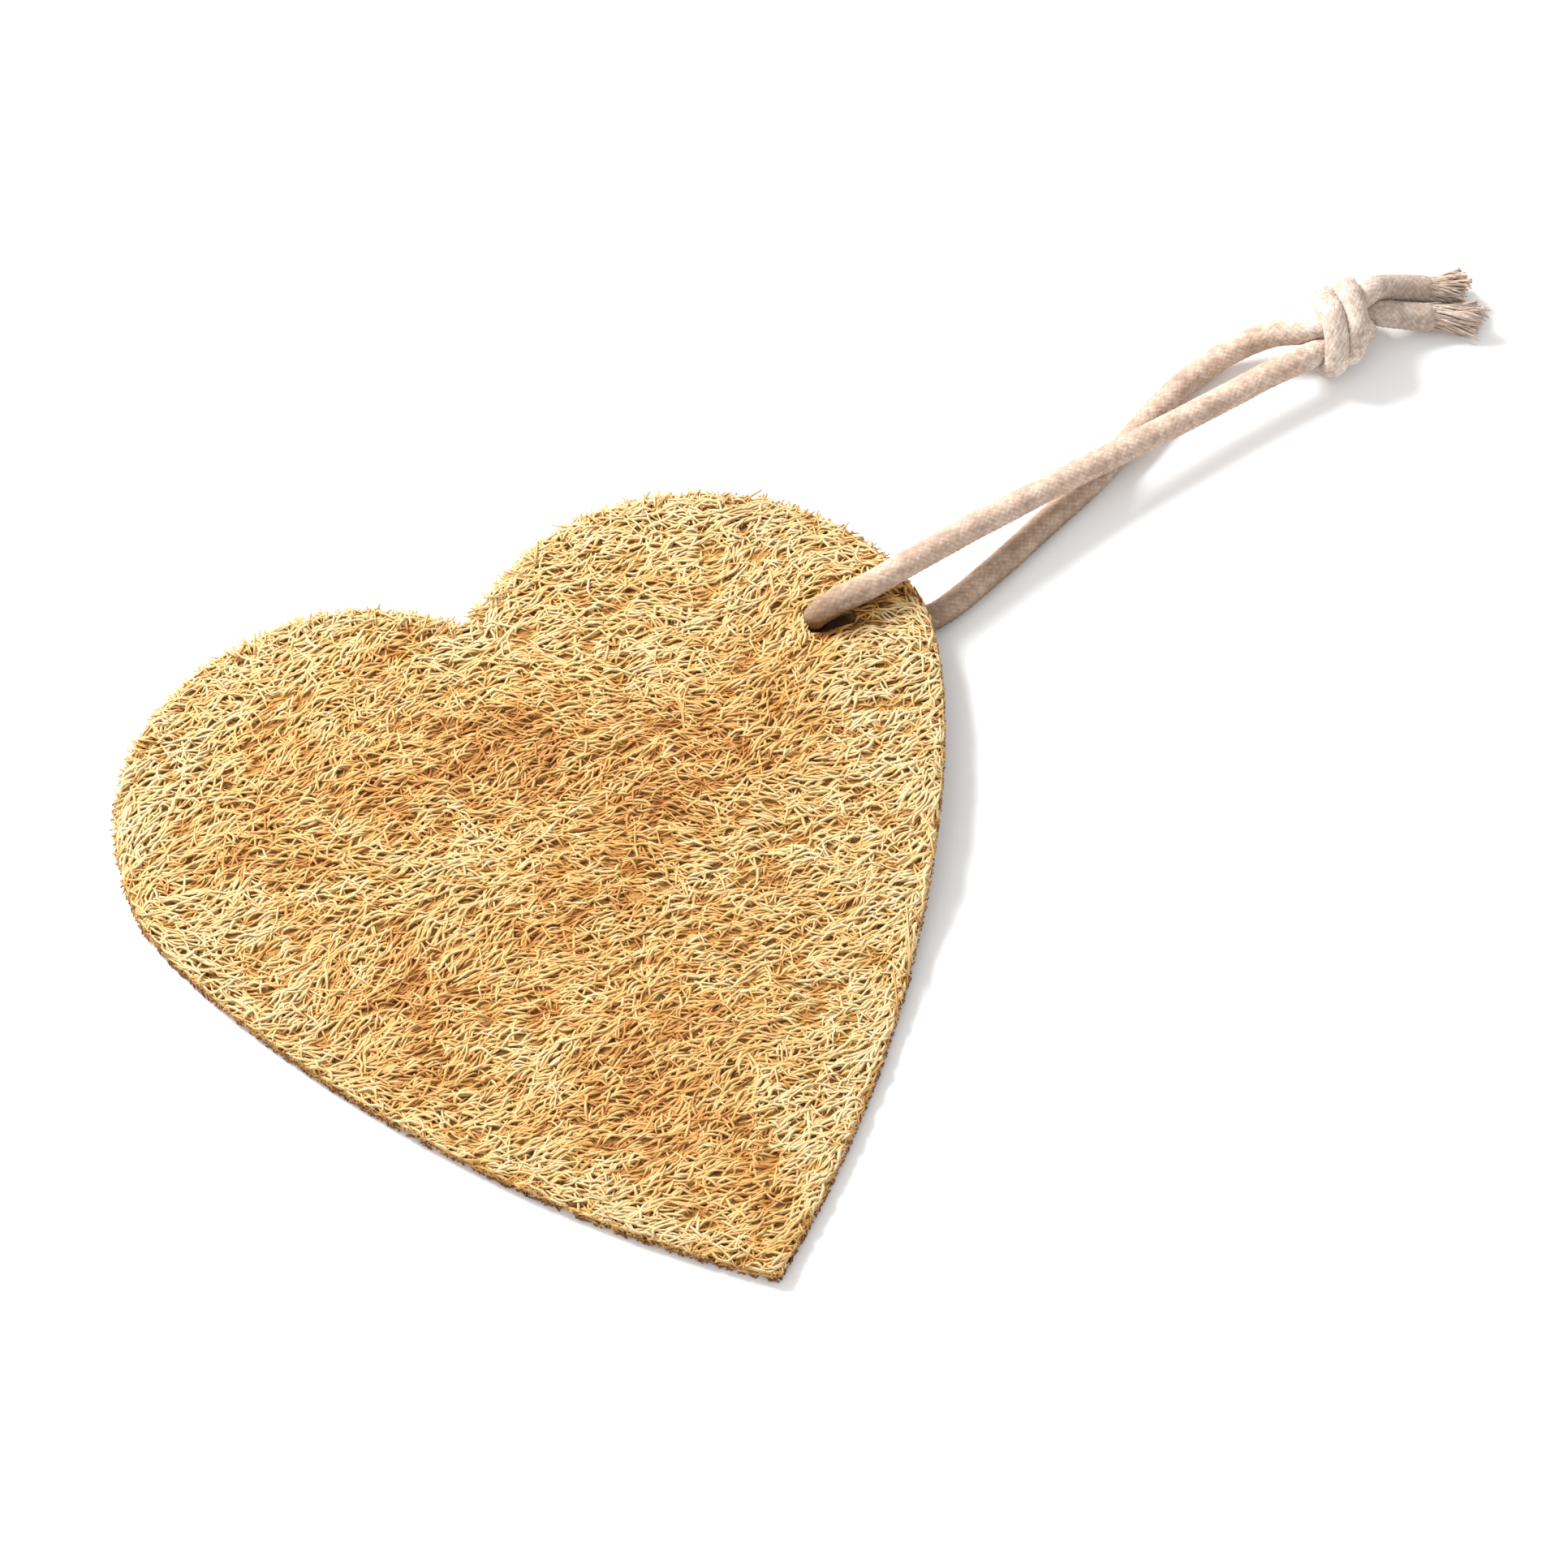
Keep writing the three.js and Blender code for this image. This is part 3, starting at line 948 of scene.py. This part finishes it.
# Mat: the dense inner layer that shows in the gaps, blotched, and darkest in the slit beside the hole, where
# a painted shadow stands in for the dark gap under the cord
matLook = {
    "light": (0.48, 0.25, 0.07, 1),
    "shade": (0.12, 0.05, 0.012, 1),
    "blotchStretch": (0.3, 1.0, 1.0),
    "blotchScale": 1900.0,
    "blotchDetail": 2.0,
    "blotchSpread": (0.36, 0.6),
    "paintedSlitShadow": (0.025, 0.009, 0.003, 1),
    "slitShadowMiddle": (42.2, 25.2, 6.2),
    "slitShadowReach": (2.2, 4.2),
    "grainScale": 1300.0,
    "grainAmount": 0.4,
    "rough": 0.75,
    "bump": 0.6,
    "bumpHeight": 0.3,
    "specular": 0.15,
}


def matMaterial(look):
    material, tree, shader = newMaterial("loofahMat")
    place = addNode(tree, "ShaderNodeTexCoord").outputs["Object"]
    stretch = addNode(tree, "ShaderNodeMapping", Vector=place, Scale=look["blotchStretch"])
    blotch = addNode(tree, "ShaderNodeTexNoise", Vector=stretch.outputs["Vector"],
                     Scale=look["blotchScale"], Detail=look["blotchDetail"])
    spread = mapRange(tree, blotch.outputs["Fac"], *look["blotchSpread"])
    colour = mixColour(tree, "MIX", spread, look["shade"], look["light"])
    # painted shadow: the mat goes near black round the slit beside the hole
    fromSlitShadow = addNode(tree, "ShaderNodeVectorMath", {"operation": "DISTANCE"})
    feed(tree, fromSlitShadow.inputs[0], place)
    feed(tree, fromSlitShadow.inputs[1], [length * mm for length in look["slitShadowMiddle"]])
    clear = mapRange(tree, fromSlitShadow.outputs["Value"], *(length * mm for length in look["slitShadowReach"]))
    grain = placeGrain(tree, mixColour(tree, "MIX", clear, look["paintedSlitShadow"], colour), look)
    finishMaterial(tree, shader, grain, grain.outputs["Color"], look)
    return material


loofahFibre = fibreMaterial(fibreLook)
loofahMat = matMaterial(matLook)
print("loofah materials made")

# Mat's shape: rings out from the middle, with its edge inside the fibres
matSet = {
    "centre": (0.0, 3.0),
    "rings": 30,
    "ringSpread": 1.1,
    "stepsPerCurve": 50,
    "inset": 0.75,
    "below": 0.75,  # under the fibres of each face
    "leastHalf": 0.35,
    "edgePower": 24,
    "edgeLeast": 0.02,
    "edgeHeight": 0.25,
    "lump": 0.12,
    "lumps": [(1.0, 2.4, 41), (0.6, 1.3, 42)],
    "underLump": 0.7,
    "underGap": 0.3,
    "holeSpot": (40.4, 27.1),
    "holeRadius": 1.65,
    "holeSides": 28,
    "cutMiddle": 5.0,
    "cutDepth": 40.0,
}


def matPiece(look):
    outline = heartOutline(look["stepsPerCurve"])
    border = outline + inwardWay(outline) * look["inset"]
    centre = np.array(look["centre"])
    ringCount = look["rings"]
    rings = np.sqrt(np.arange(1, ringCount + 1) / ringCount) ** look["ringSpread"]
    flat = centre + (border - centre)[None] * rings[:, None, None]
    x, y = flat[..., 0], flat[..., 1]
    low, high = padFaces(x, y)
    lump = look["lump"] * noiseLayers(x, y, look["lumps"])
    middle = (low + high) / 2
    ridge = np.sqrt(np.clip(1.0 - rings[:, None] ** look["edgePower"], look["edgeLeast"], 1.0))
    half = np.maximum((high - low) / 2 - look["below"], look["leastHalf"]) * ridge
    top = np.stack([x, y, middle + half + (lump + padSwell(x, y)) * ridge], -1)
    bottom = middle - half + lump * ridge * look["underLump"]
    under = np.stack([x, y, np.maximum(bottom, low + look["underGap"])], -1)
    under[-1] = top[-1] - np.array((0.0, 0.0, look["edgeHeight"]))
    poles = np.array([[*centre, top[0, :, 2].mean()], [*centre, under[0, :, 2].mean()]])
    points = np.vstack([top.reshape(-1, 3), under.reshape(-1, 3), poles])
    count = len(outline)
    column = np.arange(count)[None]
    following = (column + 1) % count
    row = np.arange(ringCount - 1)[:, None] * count
    upper = np.stack([row + column, row + count + column, row + count + following, row + following], -1)
    offset = ringCount * count
    lower = upper[..., ::-1] + offset
    last = (ringCount - 1) * count
    wall = np.stack([last + column, offset + last + column, offset + last + following, last + following], -1)
    quads = np.vstack([part.reshape(-1, 4) for part in (upper, lower, wall)])
    poleTop = np.stack([np.full(count, 2 * offset), column[0], following[0]], -1)
    poleUnder = np.stack([np.full(count, 2 * offset + 1), offset + following[0], offset + column[0]], -1)
    return makePiece("loofahMat", points, [quads, poleTop, poleUnder], loofahMat,
                     ["loofah_pad"])


def cutHole(piece, look):
    # a round cutter goes through the mat where the cord does
    place = (*look["holeSpot"], look["cutMiddle"])
    bpy.ops.mesh.primitive_cylinder_add(vertices=look["holeSides"], radius=look["holeRadius"] * mm,
                                        depth=look["cutDepth"] * mm, location=[part * mm for part in place])
    cutter = bpy.context.object
    cut = piece.modifiers.new("cordHole", "BOOLEAN")
    cut.operation = "DIFFERENCE"
    cut.solver = "EXACT"
    cut.object = cutter
    shaped = bpy.data.meshes.new_from_object(piece.evaluated_get(bpy.context.evaluated_depsgraph_get()))
    piece.modifiers.remove(cut)
    piece.data = shaped
    bpy.data.objects.remove(cutter)


padMat = matPiece(matSet)
cutHole(padMat, matSet)
print("mat made:", len(padMat.data.polygons), "faces")

# Fibres: a net of strands, and over it strands that weave in and out of the surface
netSet = {
    "seed": 61,
    "count": 3400,
    "points": 9,
    "reach": (0.65, 1.1),  # length of one step along a fibre
    "halfWidth": (0.2, 0.34),
    "level": (-0.34, -0.1),
    "weave": (0.08, 0.25),
    "cycles": (1.5, 2.5),
    "tipDive": 0.3,
    "ownTurn": 0.42,
    "curl": 0.10,
    "crossShare": 0.2,
    "tint": 0.52,
    "tintSpread": 0.1,
}

weaveSet = {
    "seed": 62,
    "count": 10000,
    "points": 7,
    "reach": (0.42, 0.78),
    "halfWidth": (0.16, 0.29),
    "level": (-0.1, 0.04),
    "weave": (0.14, 0.36),
    "cycles": (0.8, 1.6),
    "tipDive": 0.26,
    "ownTurn": 0.36,
    "curl": 0.12,
    "crossShare": 0.1,
    "tint": 0.62,
    "tintSpread": 0.13,
}

underSet = {
    **netSet,
    "seed": 63,
    "count": 3000,
    "points": 6,
    "reach": (1.1, 1.9),
    "level": (-0.4, 0.0),
    "weave": (0.1, 0.4),
    "cycles": (0.7, 1.6),
    "tint": 0.48,
}

# What all the fibres share: how they lie, and their tints over the pad
fibreSet = {
    "sides": 3,
    "flatness": 0.42,
    "edgeMargin": 0.3,
    "spotMargin": 0.2,
    "crossTurn": (0.8, 1.5),
    "bunching": 0.5,  # how far fibres move towards a ridge
    "probe": 0.1,
    "pitDepth": 0.42,
    "tipPower": 2.2,
    "tipClip": (0.03, 0.97),
    "tipWidth": 0.5,
    "fullShadeDepth": 0.85,  # how far down a fibre its painted shade is darkest
    "patches": [(0.18, 14.0, 51), (0.2, 5.0, 52), (0.18, 2.0, 53)],
    "grainTint": 0.2,
    "paleEdge": 0.44,
    "paleReach": 9.0,
    "paleBase": -0.1,
    "spots": [  # place, reach, and how much paler or browner
        ((0.0, 25.0), 6.0, -0.2),
        ((12.0, 8.0), 9.0, -0.16),
        ((-5.0, -29.0), 8.0, -0.22),
        ((-26.0, -7.0), 7.0, -0.14),
        ((39.0, 45.0), 9.0, 0.26),
        ((47.0, 9.0), 9.0, 0.22),
        ((-34.0, 44.0), 10.0, 0.14),
    ],
    "ripeShare": 0.12,  # some fibres are browner
    "ripeTint": (-0.28, 0.03),
    "paintedShadowStart": (40.4, 24.5),  # painted shadow of the cord: a brown strip beside it
    "paintedShadowHeading": (0.976, 0.217),
    "paintedShadowWidth": 1.4,
    "paintedShadowLead": 1.0,  # how far before its start it comes in, and how sharply
    "paintedShadowSharp": 2.0,
    "paintedShadowLength": 18.0,
    "paintedShadowTint": 0.7,
    "paintedShadowDepth": 0.95,
}


def fibreField(rng, look):
    # fibres go both ways from scattered spots, along the lie, and gather on the ridges
    spots = scatterSpots(rng, look["count"], fibreSet["spotMargin"])
    count = len(spots)
    steps = look["points"]
    margin = fibreSet["edgeMargin"]
    reach = rng.uniform(*look["reach"], count)
    turn = rng.normal(0.0, look["ownTurn"], count)
    crossing = rng.uniform(0.0, 1.0, count) < look["crossShare"]
    crossTurn = rng.choice((-1.0, 1.0), count) * rng.uniform(*fibreSet["crossTurn"], count)
    turn = turn + np.where(crossing, crossTurn, 0.0)
    curl = rng.normal(0.0, look["curl"], count)
    flat = np.zeros((count, steps, 2))
    middle = steps // 2
    flat[:, middle] = keepInPad(spots, margin)
    for way, last in ((1, steps - 1), (-1, 0)):
        here = flat[:, middle]
        for k in range(1, abs(last - middle) + 1):
            angle = fibreLie(here) + turn + curl * k * way
            here = here + way * reach[:, None] * np.stack([np.cos(angle), np.sin(angle)], -1)
            here = keepInPad(here, margin)
            flat[:, middle + way * k] = here
    x, y = flat[..., 0], flat[..., 1]
    probe = fibreSet["probe"]
    slopeX = padGrain(x + probe, y) - padGrain(x - probe, y)
    slopeY = padGrain(x, y + probe) - padGrain(x, y - probe)
    return keepInPad(flat + fibreSet["bunching"] * np.stack([slopeX, slopeY], -1), margin)


def paintedCordShadow(x, y):
    # painted shadow of the cord on the pad: darkest at the hole, and fading along the cord
    start = fibreSet["paintedShadowStart"]
    heading = fibreSet["paintedShadowHeading"]
    along = (x - start[0]) * heading[0] + (y - start[1]) * heading[1]
    across = (y - start[1]) * heading[0] - (x - start[0]) * heading[1]
    before = np.exp(-(along + fibreSet["paintedShadowLead"]) * fibreSet["paintedShadowSharp"])
    beside = np.exp(-(across / fibreSet["paintedShadowWidth"]) ** 2) / (1.0 + before)
    return beside * np.exp(-np.clip(along, 0.0, None) / fibreSet["paintedShadowLength"])


def fibreTints(rng, flat, look):
    # patches of paler and browner fibre, paler towards the edge, and browner where the cord's shadow is
    # painted beside it
    x, y = flat[:, flat.shape[1] // 2].T
    patch = noiseLayers(x, y, fibreSet["patches"]) + fibreSet["grainTint"] * padGrain(x, y)
    pale = fibreSet["paleEdge"] * np.exp(-sampleGrid(edgeTable, x, y) / fibreSet["paleReach"])
    pale = pale + fibreSet["paleBase"] - fibreSet["paintedShadowTint"] * paintedCordShadow(x, y)
    for spot, reach, amount in fibreSet["spots"]:
        away = (x - spot[0]) ** 2 + (y - spot[1]) ** 2
        pale = pale + amount * np.exp(-away / (2 * reach ** 2))
    ripe = np.where(rng.uniform(0.0, 1.0, len(x)) < fibreSet["ripeShare"], *fibreSet["ripeTint"])
    own = ripe + rng.normal(0.0, look["tintSpread"], len(x))
    return clamp(look["tint"] + patch + pale + own)


def fibreLayer(rng, flat, face, look):
    # face is 1 on the top and -1 on the underside
    count, steps = flat.shape[:2]
    x, y = flat[..., 0], flat[..., 1]
    share = np.linspace(0.0, 1.0, steps)[None]
    low, high = padFaces(x, y)
    level = rng.uniform(*look["level"], count)[:, None]
    depth = rng.uniform(*look["weave"], count)[:, None]
    cycles = rng.uniform(*look["cycles"], count)[:, None]
    phase = rng.uniform(0.0, 1.0, count)[:, None]
    weave = depth * (0.5 - 0.5 * np.cos(2 * np.pi * (cycles * share + phase)))
    sink = weave + look["tipDive"] * np.abs(2 * share - 1) ** fibreSet["tipPower"] - level
    half = rng.uniform(*look["halfWidth"], count)[:, None]
    full = np.sqrt(np.sin(np.pi * np.clip(share, *fibreSet["tipClip"])))
    wide = half * (fibreSet["tipWidth"] + (1.0 - fibreSet["tipWidth"]) * full)
    tall = wide * fibreSet["flatness"]
    paintedShadow = 0.0
    if face > 0:
        sink = sink + fibreSet["pitDepth"] * padPits(x, y)
        z = np.maximum(high + padSwell(x, y) - tall - sink, (low + high) / 2)
        # painted shadow of the cord: the fibres beside it are darkened through their depth mark
        paintedShadow = fibreSet["paintedShadowDepth"] * paintedCordShadow(x, y)
    else:
        z = np.minimum(low + np.maximum(sink, 0.0) + tall, (low + high) / 2)
    paths = np.concatenate([flat, z[..., None]], -1)
    # the depth mark is painted shade: darker the deeper a fibre sinks, plus the cord's painted shadow
    return paths, wide, tall, clamp(sink / fibreSet["fullShadeDepth"] + paintedShadow)


def makeFibres(name, paths, wide, tall, tints, depth):
    # tints has one value for each fibre, and depth, a painted shade that is darker the deeper a fibre lies,
    # has one for each fibre or each point
    sides = fibreSet["sides"]
    points, faces, strips = fibreTubes(paths, wide, tall, sides)
    marks = {
        "tint": np.repeat(tints, paths.shape[1] * sides),
        "depth": np.repeat(np.broadcast_to(depth, paths.shape[:2]).ravel(), sides),
    }
    makePiece(name, points, faces, loofahFibre, ["loofah_pad"], marks, strips)
    print(name, "made:", len(paths), "fibres,", 2 * len(faces[0]) + len(faces[1]), "triangles")


def fibrePieces(names, look, face):
    # the fibres are dealt out to the named pieces in turn
    rng = np.random.default_rng(look["seed"])
    flat = fibreField(rng, look)
    layer = fibreLayer(rng, flat, face, look)
    tints = fibreTints(rng, flat, look)
    for part, name in enumerate(names):
        paths, wide, tall, depth = (values[part::len(names)] for values in layer)
        makeFibres(name, paths, wide, tall, tints[part::len(names)], depth)


fibrePieces(["fibreNet"], netSet, 1)
fibrePieces(["fibreWeaveA", "fibreWeaveB"], weaveSet, 1)
fibrePieces(["fibresUnder"], underSet, -1)

# Rim: cut ends that show round the edge, whiskery on the lobes and clean on the flanks, with painted shade
# that darkens their lower ends and the flanks
rimSet = {
    "seed": 71,
    "count": 2600,
    "points": 4,
    "length": (1.5, 2.8),
    "halfWidth": (0.13, 0.26),
    "taper": (1.0, 1.0, 0.9, 0.6),
    "lobeStart": 18.0,  # along +Y, where the flanks turn into the lobes
    "lobeFade": 24.0,
    "lobeWhisker": 0.9,
    "flankWhisker": 0.08,
    "whiskerPower": 3.2,
    "lean": 0.6,
    "flankLean": 1.6,
    "rootInset": 1.3,
    "height": (0.08, 0.92),  # as a share of the edge's thickness
    "flankHeight": 0.16,
    "droop": 0.25,
    "topGap": 0.05,
    "tint": (0.3, 0.15),
    "paintedShadeRise": 0.5,  # painted shade: upper ends are paler, and lower ones browner
    "depth": (1.3, -1.2),
    "flankShade": (1.15, -0.4),
}


def rimPiece(look):
    rng = np.random.default_rng(look["seed"])
    count = look["count"]
    closed = np.vstack([outlinePoints, outlinePoints[:1]])
    outline = alongPath(closed, np.linspace(0.0, travelled(closed)[-1], count, endpoint=False))
    inward = inwardWay(outline)
    along = np.stack([-inward[:, 1], inward[:, 0]], -1)
    lobes = clamp((outline[:, 1] - look["lobeStart"]) / look["lobeFade"])
    whisker = look["flankWhisker"] + (look["lobeWhisker"] - look["flankWhisker"]) * lobes
    out = whisker * rng.uniform(0.0, 1.0, count) ** look["whiskerPower"]
    length = rng.uniform(*look["length"], count)
    lean = rng.normal(0.0, look["lean"], count) * (1.0 + look["flankLean"] * (1.0 - lobes))
    share = np.linspace(0.0, 1.0, look["points"])[None, :, None]
    start = outline + inward * length[:, None]
    end = outline - inward * out[:, None] + along * (lean * length)[:, None]
    flat = keepInPad(start[:, None] * (1 - share) + end[:, None] * share, -out[:, None])
    root = outline + inward * look["rootInset"]
    low, high = padFaces(root[:, 0], root[:, 1])
    tall = rng.uniform(*look["height"], count) * (1.0 - look["flankHeight"] * (1.0 - lobes))
    droop = rng.normal(0.0, look["droop"], count)
    half = rng.uniform(*look["halfWidth"], count)[:, None] * np.array(look["taper"])[None]
    z = (low + (high - low) * tall)[:, None] + droop[:, None] * share[..., 0] ** 2
    z = np.clip(z, (low + half[:, 0])[:, None], (high - look["topGap"])[:, None])
    tints = clamp(rng.normal(*look["tint"], count) + look["paintedShadeRise"] * tall)
    # painted shade: lower ends darker, and the flanks' wall darker still
    depth = look["depth"][0] + look["depth"][1] * tall
    depth = clamp(depth * (look["flankShade"][0] + look["flankShade"][1] * lobes))
    paths = np.concatenate([flat, z[..., None]], -1)
    makeFibres("fibresRim", paths, half, half, tints, depth[:, None])


rimPiece(rimSet)

# Lip: fibres that lie up against the cord where it goes down into the pad
lipSet = {
    **weaveSet,
    "seed": 72,
    "count": 40,
    "points": 9,
    "across": (36.8, 38.8),
    "furthest": 39.2,
    "middle": 26.6,
    "spread": 1.1,
    "reach": (0.8, 1.7),
    "turn": (0.9, 0.6),
    "bow": 0.3,
    "cordStart": 38.5,
    "cordMiddle": 26.8,
    "cordWidth": 1.5,
    "rise": 1.2,  # how fast the cord's back comes up under them
    "taper": 0.5,
    "tipDive": 0.35,
    "lift": (-0.15, 0.1),
    "depth": (0.1, 0.6),
}


def lipPiece(look):
    rng = np.random.default_rng(look["seed"])
    count = look["count"]
    share = np.linspace(-1.0, 1.0, look["points"])[None]
    place = rng.uniform(*look["across"], count)[:, None]
    reach = rng.uniform(*look["reach"], count)[:, None]
    turn = rng.normal(*look["turn"], count)[:, None]
    y = look["middle"] + rng.normal(0.0, look["spread"], count)[:, None] + reach * share * np.sin(turn)
    bow = rng.normal(0.0, look["bow"], count)[:, None] * share ** 2
    x = np.minimum(place + reach * share * np.cos(turn) + bow, look["furthest"])
    beside = np.exp(-((y - look["cordMiddle"]) / look["cordWidth"]) ** 2)
    back = look["rise"] * np.clip(x - look["cordStart"], 0.0, None) * beside
    half = rng.uniform(*look["halfWidth"], count)[:, None] * (1.0 - look["taper"] * share ** 4)
    z = padFaces(x, y)[1] + padSwell(x, y) + back - look["tipDive"] * np.abs(share) ** 3
    z = z + rng.uniform(*look["lift"], count)[:, None]
    tints = fibreTints(rng, np.stack([x, y], -1), look)
    depth = rng.uniform(*look["depth"], count)[:, None]
    makeFibres("fibresLip", np.stack([x, y, z], -1), half, half * fibreSet["flatness"], tints, depth)


lipPiece(lipSet)

# Floor and studio light
studioSet = {
    "floor": (0.90, 0.90, 0.895, 1),
    "floorSize": 3000.0,
    "floorGap": 0.05,
    "floorRough": 0.9,
    "floorSpecular": 0.1,
    "toothScale": 900.0,
    "tooth": 0.05,
    "toothHeight": 0.2,
    "sky": (1.0, 1.0, 1.0, 1),
    "skyPower": 0.9,
    "target": (30.0, 10.0, 0.0),
    # the key stands behind the pad, to the picture's upper left
    "key": {"azimuth": 208.0, "elevation": 42.0, "distance": 900.0, "size": 360.0, "power": 15.0},
    "fill": {"azimuth": -60.0, "elevation": 55.0, "distance": 1100.0, "size": 600.0, "power": 0.8},
}


def areaLight(name, target, look):
    lamp = bpy.data.lights.new(name, "AREA")
    lamp.shape = "DISK"
    lamp.size = look["size"] * mm
    lamp.energy = look["power"]
    light = bpy.data.objects.new(name, lamp)
    aimAt(light, target, look["azimuth"], look["elevation"], look["distance"])


def makeFloor(look):
    bpy.ops.mesh.primitive_plane_add(size=look["floorSize"] * mm, location=(0.0, 0.0, -look["floorGap"] * mm))
    floor = bpy.context.object
    floor.name = "studioFloor"
    material, tree, shader = newMaterial("floorPaper")
    place = addNode(tree, "ShaderNodeTexCoord").outputs["Object"]
    tooth = addNode(tree, "ShaderNodeTexNoise", Vector=place, Scale=look["toothScale"])
    bump = addNode(tree, "ShaderNodeBump", Strength=look["tooth"], Distance=look["toothHeight"] * mm,
                   Height=tooth.outputs["Fac"])
    shader.inputs["Base Color"].default_value = look["floor"]
    shader.inputs["Roughness"].default_value = look["floorRough"]
    shader.inputs["Specular IOR Level"].default_value = look["floorSpecular"]
    tree.links.new(bump.outputs["Normal"], shader.inputs["Normal"])
    floor.data.materials.append(material)


def makeSky(look):
    world = bpy.data.worlds.new("studioWorld")
    world.use_nodes = True
    sky = world.node_tree.nodes["Background"]
    sky.inputs["Color"].default_value = look["sky"]
    sky.inputs["Strength"].default_value = look["skyPower"]
    bpy.context.scene.world = world
    bpy.context.scene.view_settings.view_transform = "Standard"


makeFloor(studioSet)
makeSky(studioSet)
areaLight("keyLight", studioSet["target"], studioSet["key"])
areaLight("fillLight", studioSet["target"], studioSet["fill"])
print("studio made")
